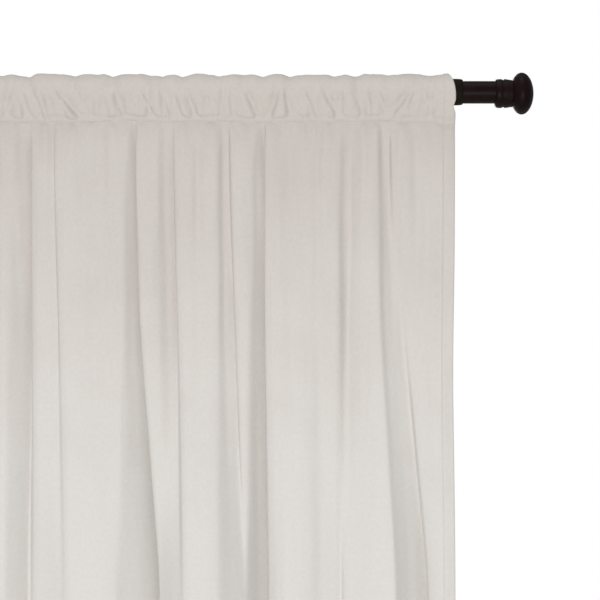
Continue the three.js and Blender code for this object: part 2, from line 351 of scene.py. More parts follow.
sewing_thread = make_thread()
label_satin = make_satin()
print("made", sewing_thread.name, "and", label_satin.name)


# %% [markdown]
# The rod is painted a dark red-brown that passes for old bronze. Baked paint is never quite even: its
# colour and its gloss drift slowly, and its skin is very slightly pebbled. The ring on the tube's mouth is
# moulded plastic, nearly black, and the screws are plain blackened steel.

# %% Rod finishes
def make_paint(name, dark, light, roughness, shine, metal, speckle):
    material, tree, shader = new_material(name, Metallic=metal, Specular_IOR_Level=shine)
    place = place_on_object(tree)
    drift = noise_texture(tree, place, 35.0, 4.0, 0.6)
    tree.links.new(ramp(tree, drift, [(0.35, dark), (0.7, light)]), shader.inputs["Base Color"])
    gloss = arithmetic(tree, "ADD", scaled(tree, drift, 0.18), roughness - 0.09)
    tree.links.new(gloss, shader.inputs["Roughness"])
    pebble = noise_texture(tree, place, 1100.0, 2.0, 0.5)
    bump(tree, shader, pebble, speckle, 0.2 * MM)
    return material


bronze_paint = make_paint(
    "bronze paint", dark=(0.0066, 0.0026, 0.0028), light=(0.0106, 0.0046, 0.0046),
    roughness=0.44, shine=0.05, metal=0.0, speckle=0.10,
)
black_plastic = make_paint(
    "black plastic", dark=(0.0060, 0.0048, 0.0028), light=(0.0090, 0.0072, 0.0045),
    roughness=0.55, shine=0.04, metal=0.0, speckle=0.15,
)
screw_steel = make_paint(
    "blackened steel", dark=(0.10, 0.10, 0.10), light=(0.16, 0.16, 0.165),
    roughness=0.40, shine=0.5, metal=1.0, speckle=0.05,
)
print("made", bronze_paint.name, "and", black_plastic.name, "and", screw_steel.name)


# %% [markdown]
# A turned piece, such as a tube or a collar, is the same outline all the way round. By hand it is made
# from a circle: extrude the circle along the rod, scale the new ring to its radius, and repeat. When the
# last ring lies on the first, or has shrunk to a point, merging the doubles closes the skin.
# The ring's edges are then bevelled, because no real edge is perfectly sharp.

# %% Helper: picking a piece
def pick(piece):
    """Only this piece is selected and active, because an operator acts on all that is selected."""
    bpy.ops.object.select_all(action="DESELECT")
    piece.select_set(True)
    bpy.context.view_layer.objects.active = piece


def shade_smooth(piece, degrees):
    pick(piece)
    bpy.ops.object.shade_smooth_by_angle(angle=math.radians(degrees))


def start_edit(piece):
    pick(piece)
    bpy.ops.object.mode_set(mode="EDIT")


# %% Helper: turned pieces
ROUND = 96  # facets of everything turned


def turned(name, rings, axis_z=0.0, facets=ROUND, smooth_degrees=40):
    """rings are (x, radius); the first is the circle that the others are pulled from."""
    x, radius = rings[0]
    bpy.ops.mesh.primitive_circle_add(
        vertices=facets, radius=radius, location=(x, 0, axis_z), rotation=(0, math.radians(90), 0),
    )
    piece = bpy.context.object
    piece.name = name
    bpy.ops.object.transform_apply(location=True, rotation=True, scale=True)
    start_edit(piece)
    bpy.ops.mesh.select_all(action="SELECT")
    for next_x, next_radius in rings[1:]:
        bpy.ops.mesh.extrude_region_move(TRANSFORM_OT_translate={"value": (next_x - x, 0, 0)})
        grow = max(next_radius, 1e-6) / max(radius, 1e-6)
        bpy.ops.transform.resize(value=(1, grow, grow), center_override=(next_x, 0, axis_z))
        x, radius = next_x, max(next_radius, 1e-6)
    bpy.ops.mesh.select_all(action="SELECT")
    bpy.ops.mesh.remove_doubles(threshold=2e-5)
    bpy.ops.mesh.normals_make_consistent(inside=False)
    bpy.ops.object.mode_set(mode="OBJECT")
    shade_smooth(piece, smooth_degrees)
    return piece


def soften_edges(piece, width, segments=2, over_degrees=30):
    bevel = piece.modifiers.new("soft edge", "BEVEL")
    bevel.width = width
    bevel.segments = segments
    bevel.limit_method = "ANGLE"
    bevel.angle_limit = math.radians(over_degrees)
    pick(piece)
    bpy.ops.object.modifier_apply(modifier=bevel.name)
    shade_smooth(piece, over_degrees)


# %% [markdown]
# Every piece ends the same way. It gets its materials, it is parented to the body it moves with, and the
# solids of the design that it stands for are hidden.

# %% Helper: finishing a piece
def finish_piece(piece, body, replaced, slot, *materials):
    piece.data.materials.clear()
    for material in materials:
        piece.data.materials.append(material)
    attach(piece, body)
    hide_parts(*replaced)
    print(piece.name, len(piece.data.polygons), "faces, rides on", body)


# %% [markdown]
# Both tubes of the rod are thin walls: the outline goes along the outside, turns in at the end, comes back
# along the inside and meets itself. Their lengths and places come straight from the design's boxes.

# %% The two tubes
TUBE_WALL = 1.0 * MM


def make_tube(node, body):
    low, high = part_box(node)
    radius = (high.z - low.z) / 2
    bore = radius - TUBE_WALL
    middle = (high.z + low.z) / 2
    piece = turned(node + "_painted", [
        (low.x, radius), (high.x, radius), (high.x, bore), (low.x, bore), (low.x, radius),
    ], middle)
    soften_edges(piece, 0.25 * MM)
    finish_piece(piece, body, [node], "bronze_paint", bronze_paint)
    return piece


outer_tube = make_tube("outer_tube", "outer_rod")
make_tube("inner_tube", "inner_rod")

# %% [markdown]
# The ring on the outer tube's mouth is pushed on from the end. Its front rounds over towards the thinner
# tube, so that the pocket slides over it without catching.

# %% The mouth ring
def make_mouth_ring():
    low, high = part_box("tube_mouth_ring")
    radius = (high.z - low.z) / 2
    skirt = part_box("outer_tube")[1].z + 0.15 * MM
    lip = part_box("inner_tube")[1].z + 2 * 0.28 * MM + 0.35 * MM
    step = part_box("outer_tube")[1].x + 0.15 * MM
    round_start = high.x - 6.5 * MM
    rings = [(low.x, skirt), (low.x, radius - 0.2 * MM), (low.x + 1.0 * MM, radius)]
    for part in range(9):
        angle = math.radians(90 * part / 8)
        rings.append((
            round_start + (high.x - round_start) * math.sin(angle),
            lip + 0.2 * MM + (radius - lip - 0.2 * MM) * math.cos(angle),
        ))
    rings += [(high.x, lip), (step, lip), (step, skirt), (low.x, skirt)]
    piece = turned("mouth_ring_moulded", rings)
    finish_piece(piece, "outer_rod", ["tube_mouth_ring"], "black_plastic", black_plastic)


make_mouth_ring()


# %% [markdown]
# Each end cap is a collar and a knob. The collar is turned like the tubes: a rounded bead where it starts,
# a groove, and a neck that narrows slightly towards the knob. Its blind bore takes the end of the tube. The
# left cap is the mirror image of the right one, so one function makes both: it measures outwards from the
# collar's open end, and a direction of 1 or -1 turns that into a place along the rod.

# %% The collars
def cap_frame(side):
    """Where the cap's collar opens, which way it points, and its axis height."""
    low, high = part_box(side + "_cap_collar")
    direction = 1 if side == "right" else -1
    open_x = low.x if side == "right" else high.x
    return open_x, direction, (low.z + high.z) / 2


MOUTH_R = 16.6 * MM
BEAD_R = 18.35 * MM
BEAD_ROUND = 5.2 * MM  # how far along the collar the bead takes to reach its full radius
NECK_R = 17.2 * MM
SOCKET_R = 16.175 * MM
SOCKET_DEEP = 16.0 * MM
COLLAR_LONG = 21.5 * MM
STUD_HOLE_R = 3.0 * MM
GROOVE = (8.6 * MM, 11.2 * MM)


def collar_outline():
    outline = [(0.0, SOCKET_R)]
    for part in range(8):
        angle = math.radians(90 * part / 7)
        along = BEAD_ROUND * (1 - math.cos(angle))
        outline.append((along, MOUTH_R + (BEAD_R - MOUTH_R) * math.sin(angle)))
    outline += [
        (GROOVE[0] - 0.9 * MM, BEAD_R), (GROOVE[0] - 0.3 * MM, BEAD_R - 0.25 * MM),
        (GROOVE[0] + 0.2 * MM, BEAD_R - 0.8 * MM), (GROOVE[0] + 1.2 * MM, BEAD_R - 1.0 * MM),
        (GROOVE[1] - 0.4 * MM, BEAD_R - 0.8 * MM), (GROOVE[1], BEAD_R - 0.3 * MM),
        (GROOVE[1] + 0.5 * MM, BEAD_R - 0.05 * MM),
        (GROOVE[1] + 2.0 * MM, BEAD_R - 0.05 * MM), (COLLAR_LONG - 2 * MM, NECK_R + 0.05 * MM),
        (COLLAR_LONG, NECK_R), (COLLAR_LONG, STUD_HOLE_R), (SOCKET_DEEP, STUD_HOLE_R),
        (SOCKET_DEEP, SOCKET_R), (0.0, SOCKET_R),
    ]
    return outline


def cut_away(piece, cutter):
    cut = piece.modifiers.new("cut", "BOOLEAN")
    cut.operation = "DIFFERENCE"
    cut.solver = "EXACT"
    cut.object = cutter
    pick(piece)
    bpy.ops.object.modifier_apply(modifier=cut.name)
    bpy.data.objects.remove(cutter)


def make_collar(side):
    open_x, direction, axis_z = cap_frame(side)
    piece = turned(
        side + "_collar_painted",
        [(open_x + direction * along, radius) for along, radius in collar_outline()], axis_z,
    )
    screw_low, screw_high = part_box(side + "_grub_screw")
    bpy.ops.mesh.primitive_cylinder_add(
        vertices=32, radius=(screw_high.x - screw_low.x) / 2 + 0.15 * MM, depth=8 * MM,
        location=((screw_low.x + screw_high.x) / 2, 0, axis_z - BEAD_R),
    )
    cut_away(piece, bpy.context.object)
    piece.data.update()
    shade_smooth(piece, 32)
    finish_piece(piece, side + "_cap", [side + "_cap_collar"], "bronze_paint", bronze_paint)


for side in ("right", "left"):
    make_collar(side)


# %% [markdown]
# The knob is a bun: a ball squashed along the rod. It starts as a ball, is scaled flat, and is cut off
# square where it meets the collar. The edge of the cut is rounded a little, as a casting's edge is.

# %% The knobs
KNOB_R = 26.6 * MM
KNOB_HALF = 15.1 * MM
KNOB_CENTRE = 33.5 * MM


def make_knob(side):
    open_x, direction, axis_z = cap_frame(side)
    centre = Vector((open_x + direction * KNOB_CENTRE, 0, axis_z))
    bpy.ops.mesh.primitive_uv_sphere_add(
        segments=ROUND, ring_count=48, radius=KNOB_R, location=centre, rotation=(0, math.radians(90), 0),
    )
    piece = bpy.context.object
    piece.name = side + "_knob_painted"
    bpy.ops.object.transform_apply(location=True, rotation=True, scale=True)
    start_edit(piece)
    bpy.ops.mesh.select_all(action="SELECT")
    bpy.ops.transform.resize(value=(KNOB_HALF / KNOB_R, 1, 1), center_override=centre)
    bpy.ops.mesh.select_all(action="SELECT")
    flat_x = open_x + direction * (COLLAR_LONG + 0.3 * MM)
    bpy.ops.mesh.bisect(
        plane_co=(flat_x, 0, axis_z), plane_no=(-direction, 0, 0), use_fill=True, clear_outer=True,
    )
    bpy.ops.mesh.select_all(action="SELECT")
    bpy.ops.mesh.normals_make_consistent(inside=False)
    bpy.ops.object.mode_set(mode="OBJECT")
    soften_edges(piece, 0.3 * MM)
    finish_piece(piece, side + "_cap", [side + "_cap_knob"], "bronze_resin", bronze_paint)


for side in ("right", "left"):
    make_knob(side)


# %% [markdown]
# The grub screw sits in the underside of each collar. It is a short cylinder with a six-sided hole for the
# key, cut with a six-sided cylinder. The stud inside the cap can't be seen, so the design's own solid stays
# and only gets the steel finish.

# %% Grub screws and studs
def make_grub_screw(side):
    low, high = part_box(side + "_grub_screw")
    middle = (low + high) / 2
    bpy.ops.mesh.primitive_cylinder_add(
        vertices=32, radius=(high.x - low.x) / 2, depth=high.z - low.z, location=middle,
    )
    piece = bpy.context.object
    piece.name = side + "_grub_screw_turned"
    bpy.ops.object.transform_apply(location=True, rotation=True, scale=True)
    bpy.ops.mesh.primitive_cylinder_add(
        vertices=6, radius=1.1 * MM, depth=3.2 * MM, location=(middle.x, 0, low.z),
    )
    cut_away(piece, bpy.context.object)
    soften_edges(piece, 0.15 * MM, 1)
    finish_piece(piece, side + "_cap", [side + "_grub_screw"], "screw_steel", screw_steel)


for side in ("right", "left"):
    make_grub_screw(side)
for side in ("right", "left"):
    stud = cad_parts[side + "_cap_stud"]
    stud.data.materials.clear()
    stud.data.materials.append(screw_steel)
    print(stud.name, "keeps its solid and is steel")


# %% [markdown]
# Now the cloth. A gathered curtain is one flat sheet, much wider than the space it fills, so it has to go
# back and forth. Near the seam it makes many small gathers. Lower down they join into a few deep folds.
# The clearest way to plan that is from above, where at each height the cloth is one zigzag line. The plan
# below gives every point where that line turns, in millimetres: its place along the rod and how far back it
# lies, first near the top, then at the middle and then low down. Where a point lies a little to the left of
# the one before it, the next fold laps over this one, and the eye sees a crisp edge.

# %% The plan of the folds
PLAN_HEIGHTS = (-0.11, -0.29, -0.62)
FOLD_PLAN = [
    # near the top, middle, low: (along the rod, back)
    ((-419, -3), (-419, -4), (-419, -5)), ((-403, -4.5), (-403, -7), (-403, -9)),
    ((-392, 2), (-391, 5), (-388, 12)), ((-394, -3), (-393.5, -4), (-391, -4)),
    ((-384, -5), (-384, -8), (-382, -10)), ((-367, -1), (-366, -6), (-365, -12)),
    ((-352, -4.5), (-352, -9), (-350, -13)), ((-338, -3), (-342, -5), (-347, -9)),
    ((-324, 3), (-321, 8), (-315, 20)), ((-326, -3), (-323.5, -4), (-318, 0)),
    ((-308, -5), (-308, -8), (-305, -10)), ((-292, -1.5), (-292, -6), (-290, -12)),
    ((-272, -5), (-272, -9), (-270, -14)), ((-264, -4), (-264, -7), (-263, -12)),
    ((-257, 3), (-254, 4), (-250, 2)), ((-250, -2), (-246, 1), (-238, 10)),
    ((-236, -4.5), (-232, -7), (-225, 0)), ((-218, -1), (-218, -6), (-217, -7)),
    ((-203, -5), (-204, -9), (-208, -12)), ((-190, -3), (-193, -5), (-200, -8)),
    ((-174, 3), (-169, 8), (-165, 18)), ((-176, -3), (-171.5, -5), (-168, -3)),
    ((-155, -5), (-155, -9), (-152, -12)), ((-135, -1), (-136, -6), (-136, -14)),
    ((-121, -5), (-121, -8.5), (-121, -14)), ((-109, -4), (-115, -7), (-116, -12.5)),
    ((-98, 0), (-101, 2), (-104, -4.5)), ((-86, 4.5), (-85, 10.5), (-90, 7)),
    ((-88, -3), (-87.5, -2), (-84, 2)), ((-79, -4.5), (-79, -6), (-76, -1)),
    ((-68, -4.5), (-65, -4.5), (-60, -6)), ((-57, -2), (-52, -1.5), (-45, -11)),
    ((-58, -4.5), (-53, -5), (-43.5, -12.5)), ((-47, -6), (-43, -9), (-36, -14.5)),
    ((-30, -5), (-28, -7.5), (-12, -15.5)), ((-12, -1.2), (-8, -4.2), (4, -15)),
    ((4, -1.7), (4, -3.8), (14, -13.5)), ((12, -4.5), (14, -5), (21, -11.5)),
    ((24, -5.2), (27, -6.5), (26, -9)), ((32, -3.5), (32, -4.5), (36, -3.5)),
    ((38, 0), (40, 1.5), (50, 5)), ((46.5, 4), (52, 9), (78, 25)),
    ((44.5, -4), (49.5, -5), (75, 10)), ((54, -5.5), (58, -8), (78.5, 8)),
    ((66, -5), (68, -6.5), (80, 7)), ((74, -3.5), (75, -4.5), (83, 4.5)),
    ((82, 1), (86, 4), (91, -1.5)), ((94, 4.5), (99, 9), (103, -9)),
    ((93, -3.5), (97.5, -5), (107, -12)), ((102, -5.5), (106, -9), (114, -14)),
    ((115, -4.5), (117, -9), (122, -15)), ((123, -1), (124, -7.5), (130, -15)),
    ((132, -4.5), (134, -9), (138, -15)), ((146, -4.5), (146, -8), (146, -14)),
    ((150.5, -3.5), (151, -6.5), (151.5, -12.5)), ((156, 2), (157.5, 0), (166, -4)),
    ((164, 4), (171.5, 5), (183, 5.5)), ((165, -2.5), (170, -3), (185, 6.5)),
    ((172, -5), (179, -6), (186.5, 7.5)), ((186, -5.2), (187, -5.5), (188, 8.5)),
    ((194, -3.5), (192, -3), (190, 10)), ((200, 0.5), (199, 3), (200, 18)),
    ((210.5, 4.5), (211, 10), (217, 27)), ((208.5, -4), (208.5, -4), (213.5, -1)),
    ((218, -5.3), (218, -7.5), (224, -7)), ((229, -4.5), (230, -7.5), (234, -10.5)),
    ((241, -1.6), (243, -5.3), (244, -11.5)), ((254, -4.7), (256, -6.5), (256, -10.5)),
    ((268, -4.7), (268, -5.5), (268, -8)), ((276, -1.8), (277, -3.5), (280, -3.5)),
    ((282, -4.7), (284, -5), (292, -1)), ((296, -5.2), (297, -7), (302, 1)),
    ((303.5, -4), (303.5, -5), (307, 2.5)), ((310, 2.2), (310, 2.5), (309, -1)),
    ((318, 4), (315, 5.5), (316, -3.5)), ((326, -1), (321, 1), (325, -5.5)),
    ((334, -4.5), (330, -3), (336, -8.5)), ((346, -5.3), (344, -7), (352, -12)),
    ((353, -4), (355, -7.5), (374, -13.5)), ((359, 2), (361, -1.5), (380, -9)),
    ((367.5, 3.6), (371, 2.5), (394, 1)), ((370, -2.5), (383, 5), (417, 13)),
    ((380, -5), (388, 2.5), (416.5, -1.5)), ((392, -4.5), (397, 1), (422, -4.5)),
    ((402, -1.3), (406, -0.5), (427, -6.5)), ((412, -4.7), (418, -4), (431, -7.8)),
    ((435, -5), (435, -5.5), (435, -8.5)), ((451, -3.5), (451, -4), (451, -6)),
]
fold_plan = np.array(FOLD_PLAN, dtype=float) * MM
print(len(FOLD_PLAN), "turning points")

# %% [markdown]
# The design says where the cloth starts and ends. Its boxes give both side edges, the lines where the side
# hems begin, the height of the seam and the height of the bottom hem.

# %% The edges of the cloth
left_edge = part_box("left_side_hem")[0].x
right_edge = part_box("right_side_hem")[1].x
left_hem_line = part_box("left_side_hem")[1].x
right_hem_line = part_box("right_side_hem")[0].x
seam_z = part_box("pocket_seam_thread")[0].z + 0.4 * MM
bottom_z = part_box("bottom_hem")[0].z
bottom_hem_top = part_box("bottom_hem")[1].z
SEAM_Y = -3.4 * MM  # the front of the pressed seam
print("cloth from", round(left_edge, 3), "to", round(right_edge, 3), "and down to", round(bottom_z, 3))


# %% [markdown]
# Cloth is never drawn with a ruler, so small helpers add a little disorder. A band of random waves, always
# seeded with the same number, gives soft ripples of one chosen size that come out the same every time.

# %% Helper: seeded ripples
def ripples(across, down, size, seed, stretch=1.0, waves=12):
    """Soft ripples about size metres long, from -1 to 1; stretch makes them longer down the cloth."""
    random = np.random.default_rng(seed)
    total = np.zeros(np.broadcast(across, down).shape)
    for angle, turn, scale in random.uniform(0, 1, (waves, 3)):
        length = size * (0.7 + 0.9 * scale)
        direction = 2 * math.pi * angle
        total += np.sin(
            2 * math.pi * (across * math.cos(direction) + down * math.sin(direction) / stretch) / length
            + 2 * math.pi * turn
        )
    return total / math.sqrt(waves / 2) / 2


def ease(t):
    t = np.clip(t, 0, 1)
    return t * t * (3 - 2 * t)


# %% [markdown]
# To use the plan at any height, each turning point is placed between its planned places, the zigzag is
# walked at even steps along the cloth, and its corners are rounded, because cloth can only bend so
# tightly. Below the plan's lowest height the folds go on, sway a little and grow deeper.

# %% From the plan to one wavy line
BEND = 1.6 * MM
DEEPEN = 1.04
DEEPER_LOW = 0.42
FORWARD = -5.5 * MM
WALK_STEPS = 3400


def between_plans(height):
    """The turning points at one height, blended softly from plan to plan."""
    spread = np.linspace(-0.07, 0.07, 9)
    weights = np.exp(-((spread / 0.04) ** 2))
    weights /= weights.sum()
    found = np.zeros(fold_plan[:, 0].shape)
    for offset, weight in zip(spread, weights):
        share = np.interp(-(height + offset), [-h for h in PLAN_HEIGHTS], (0, 1, 2))
        low = int(min(share, 1))
        found += weight * (fold_plan[:, low] * (low + 1 - share) + fold_plan[:, low + 1] * (share - low))
    return found


def fold_line(height):
    """A dense, rounded line at one height, and how far along it each turning point lies."""
    points = between_plans(height)
    lower = ease((-height - 0.62) / 0.9)
    inside = ease((points[:, 0] - left_edge) / 0.05) * ease((right_edge - points[:, 0]) / 0.05)
    deepen = DEEPEN + DEEPER_LOW * ease((-height - 0.3) / 0.32) + 0.05 * lower
    points[:, 1] = points[:, 1] * deepen + FORWARD * ease((-height - 0.1) / 0.5)
    points[:, 0] += 5 * MM * lower * inside * np.sin(height * 4.6 + points[:, 0] * 17)
    steps = np.concatenate([[0.0], np.cumsum(np.hypot(np.diff(points[:, 0]), np.diff(points[:, 1])))])
    even = np.linspace(0, steps[-1], WALK_STEPS)
    width = BEND / even[1]
    reach = int(3 * width)
    kernel = np.exp(-0.5 * (np.arange(-reach, reach + 1) / width) ** 2)
    kernel /= kernel.sum()
    rounded = []
    for column in (0, 1):
        dense = np.interp(even, steps, points[:, column])
        start = 2 * dense[0] - dense[reach:0:-1]
        end = 2 * dense[-1] - dense[-2:-reach - 2:-1]
        rounded.append(np.convolve(np.concatenate([start, dense, end]), kernel, mode="valid"))
    return even, rounded[0], rounded[1], steps


folded_length = float(fold_line(-0.6)[0][-1])
print("cloth along the folds", round(folded_length, 3), "m in", round(right_edge - left_edge, 3), "m of rod")


# %% [markdown]
# Under the seam the cloth is let out of the pressed seam over a few centimetres, and small puckers fade out
# there. The seam itself isn't quite level: it rides up and down with the gathers.

# %% The cloth at one height
PUCKER_PITCH = 19.0 * MM
SEAM_FADE = 25 * MM
LET_OUT = 60 * MM


def pucker(along, drop):
    """Small gathers just below the seam."""
    wander = 7 * MM * ripples(along, along * 0, 0.09, 5)
    comb = np.cos(2 * math.pi * (along + wander) / PUCKER_PITCH)
    return 1.5 * MM * comb * np.exp(-drop / (26 * MM)) * (1 - np.exp(-drop / (4 * MM)))


def seam_wave(x):
    return 1.5 * MM * ripples(x, x * 0, 0.11, 41)


def cloth_line(height):
    """Places along the cloth, their x and y, and the turning points, with all small detail."""
    along, x, y, steps = fold_line(height)
    drop = max(seam_z - height, 0.0)
    out = 1 - (1 - min(drop / LET_OUT, 1.0)) ** 2.4
    level = np.full_like(x, height)
    unlapped = np.maximum.accumulate(x)
    x = unlapped + (x - unlapped) * ease(drop / LET_OUT)
    y = SEAM_Y + (y - SEAM_Y) * out + pucker(x, drop)
    fine = 1 - 0.6 * ease((drop - 0.1) / 0.3)
    y = y + 1.0 * MM * out * fine * ripples(x, level, 0.034, 11, stretch=7.0)
    y = y + 0.45 * MM * out * fine * ripples(x, level, 0.015, 13, stretch=9.0)
    y = y + 1.5 * MM * out * ripples(x, level, 0.12, 12, stretch=2.5)
    draw_in = 2.6 * MM * math.exp(-(((height + 0.37) / 0.16) ** 2))
    x = x - draw_in * ease((x - right_edge + 60 * MM) / (60 * MM))
    return along, x, y, steps


# %% [markdown]
# The sheet itself is a grid. Its columns keep to the turning points at every height, so the crisp edge of a
# fold runs down one column and stays clean. Its rows lie close together under the seam, where the gathers
# are sharp, and further apart below.

# %% Columns and rows of the grid
PANEL_COLUMNS = 420


def even_columns(count):
    """Columns spread evenly over the cloth, as shares of the turning points' numbers."""
    steps = sum(fold_line(height)[3] for height in PLAN_HEIGHTS)
    wanted = np.linspace(steps[1], steps[-2], count)
    return np.interp(wanted, steps, np.arange(len(steps)))


panel_columns = even_columns(PANEL_COLUMNS)


def row_heights(top, bottom):
    """Rows from top to bottom: 5 mm apart at first, then slowly further apart."""
    heights = [top]
    while heights[-1] > bottom:
        drop = top - heights[-1]
        step = 4.5 * MM + 0.045 * max(drop - 0.16, 0)
        heights.append(heights[-1] - min(step, 34 * MM))
    heights = np.array(heights)
    return top + (heights - top) * (bottom - top) / (heights[-1] - top)


def cloth_rows(heights):
    rows = np.empty((len(heights), len(panel_columns), 3))
    for number, height in enumerate(heights):
        along, x, y, steps = cloth_line(height)
        place = np.interp(panel_columns, np.arange(len(steps)), steps)
        rows[number, :, 0] = np.interp(place, along, x)
        rows[number, :, 1] = np.interp(place, along, y)
        rows[number, :, 2] = height
    rows[:, :, 2] += seam_wave(rows[:, :, 0]) * np.exp((rows[:, :, 2] - seam_z) / SEAM_FADE)
    return rows


# %% [markdown]
# All cloth pieces are meshes made from their points. A sheet joins rows and columns of points and gets its
# thickness from a Solidify modifier. A band joins closed loops, one after the other, and closes both ends.

# %% Helper: from rows of points to a cloth mesh
def cloth_object(name, points, faces, flat):
    """An object from points, faces and each point's place on the flat cloth, in metres."""
    mesh = bpy.data.meshes.new(name)
    mesh.from_pydata(points.reshape(-1, 3).tolist(), [], faces)
    layer = mesh.uv_layers.new(name="cloth")
    corners = np.empty(len(mesh.loops), dtype=np.int32)
    mesh.loops.foreach_get("vertex_index", corners)
    layer.data.foreach_set("uv", flat.reshape(-1, 2)[corners].astype(np.float32).ravel())
    mesh.polygons.foreach_set("use_smooth", [True] * len(mesh.polygons))
    mesh.update()
    piece = bpy.data.objects.new(name, mesh)
    bpy.context.collection.objects.link(piece)
    return piece


def open_sheet(name, rows, across, down):
    """One layer of cloth through rows of points."""
    count_down, count_across = rows.shape[:2]
    number = np.arange(count_down * count_across).reshape(count_down, count_across)
    faces = np.stack([number[:-1, :-1], number[1:, :-1], number[1:, 1:], number[:-1, 1:]], axis=-1)
    flat = np.stack(np.broadcast_arrays(across, down), axis=-1)
    return cloth_object(name, rows, faces.reshape(-1, 4).tolist(), flat)


def thicken(piece, thickness):
    """Gives a sheet its thickness, away from the pile side; the new side takes the second material."""
    wall = piece.modifiers.new("cloth thickness", "SOLIDIFY")
    wall.thickness = thickness
    wall.offset = -1
    wall.material_offset = 1
    wall.material_offset_rim = 0
    pick(piece)
    bpy.ops.object.modifier_apply(modifier=wall.name)
    shade_smooth(piece, 70)


def face_outwards(piece):
    """Turns every face of a closed piece so that its front is outside."""
    fix = bmesh.new()
    fix.from_mesh(piece.data)
    bmesh.ops.recalc_face_normals(fix, faces=fix.faces)
    fix.to_mesh(piece.data)
    fix.free()


def closed_band(name, loops, flat):
    """Cloth folded round on itself: each loop is one section of it, and both ends are closed."""
    sections, around = loops.shape[:2]
    number = np.arange(sections * around).reshape(sections, around)
    beside = np.roll(number, -1, axis=1)
    faces = np.stack([number[:-1], number[1:], beside[1:], beside[:-1]], axis=-1).reshape(-1, 4).tolist()
    faces += [number[0].tolist(), number[-1][::-1].tolist()]
    piece = cloth_object(name, loops, faces, flat)
    face_outwards(piece)
    shade_smooth(piece, 65)
    return piece


# %% [markdown]
# When the curtain is drawn, its leading edge travels along the rod and the cloth between packs closer.
# Here the cloth pieces that pack are only given a copy of their mesh of their own.


def packs_when_drawn(piece):
    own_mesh(piece)


# %% [markdown]
# The panel is one open sheet with a place for every column and row, which is then given its thickness to
# the back, so that the pile side stays where the plan puts it. Its side edges and its last two rows step
# back a little, because the hems cover them.

# %% The panel
CLOTH_THICK = 1.3 * MM
CLOTH_WIDE = 1.22  # the width that was cut, with both hems turned out flat
HEM_WIDE = 17.0 * MM
TUCKED = 2  # columns of the panel that lie inside each side hem

panel_heights = row_heights(seam_z, bottom_hem_top - 4 * MM)
panel_rows = cloth_rows(panel_heights)
for edge, way in ((slice(0, TUCKED), -1), (slice(PANEL_COLUMNS - TUCKED, PANEL_COLUMNS), 1)):
    panel_rows[:, edge, 1] += 0.7 * MM
    panel_rows[:, edge, 0] += way * 1.2 * MM
panel_rows[-2:, :, 1] += 0.9 * MM
panel_across = np.linspace(HEM_WIDE, CLOTH_WIDE - HEM_WIDE, PANEL_COLUMNS)[None, :]
panel = open_sheet("panel_cloth", panel_rows, panel_across, panel_heights[:, None])
thicken(panel, CLOTH_THICK)
finish_piece(panel, "curtain", ["velvet_panel"], "velvet", velvet, woven_back)
packs_when_drawn(panel)

# %% [markdown]
# The rod pocket is the same cloth, folded back over the rod and sewn down. Seen from the end it is a drop:
# a circle round the rod with two straight sides that meet at the seam. The outline below is that drop, as
# a line to walk along, with the direction that points out of the pocket at every step.

# %% The pocket's outline, seen from the end
POCKET_R = 18.9 * MM
ALLOWANCE = 5 * MM


def pocket_outline():
    reach = math.hypot(SEAM_Y, seam_z)
    half = math.pi - math.acos(POCKET_R / reach) + abs(SEAM_Y / seam_z)
    angles = np.linspace(half, -half, 241)
    arc_y, arc_z = -POCKET_R * np.sin(angles), POCKET_R * np.cos(angles)
    down = np.linspace(0, 1, 61)[:-1]
    front_y = SEAM_Y + (arc_y[0] - SEAM_Y) * down
    front_z = seam_z - 0.8 * MM + (arc_z[0] - seam_z + 0.8 * MM) * down
    back_y = front_y[::-1] * -1
    back_z = front_z[::-1]
    tail_y = np.full(8, -SEAM_Y + 0.3 * MM)
    tail_z = seam_z - np.linspace(0.15, 1, 8) * ALLOWANCE
    y = np.concatenate([front_y, arc_y, back_y, tail_y])
    z = np.concatenate([front_z, arc_z, back_z, tail_z])
    steps = np.concatenate([[0], np.cumsum(np.hypot(np.diff(y), np.diff(z)))])
    even = np.linspace(0, steps[-1], 700)
    y, z = np.interp(even, steps, y), np.interp(even, steps, z)
    kernel = np.hanning(31) / np.hanning(31).sum()
    out_y = np.convolve(np.pad(-np.gradient(z), 15, mode="edge"), kernel, mode="valid")
    out_z = np.convolve(np.pad(np.gradient(y), 15, mode="edge"), kernel, mode="valid")
    size = np.hypot(out_y, out_z)
    return even, y, z, out_y / size, out_z / size


outline_s, outline_y, outline_z, outward_y, outward_z = pocket_outline()
pocket_round = float(outline_s[-1])
pocket_top_s = float(outline_s[np.argmax(outline_z)])
print("pocket outline", round(pocket_round, 4), "m round, top at", round(pocket_top_s, 4))

# %% [markdown]
# On the rod the cloth is pushed together, so the pocket puckers. Slanting creases run up from the seam, in
# V shapes, and the cloth between them stands out in puffs. Over the top the creases fade, and the puffs
# end in a shallow scalloped line. Each crease below has its place at the top and at the seam, its depth,
# and how wide it is on its left and right side: a narrow side makes a sharp edge, like a small overlap.

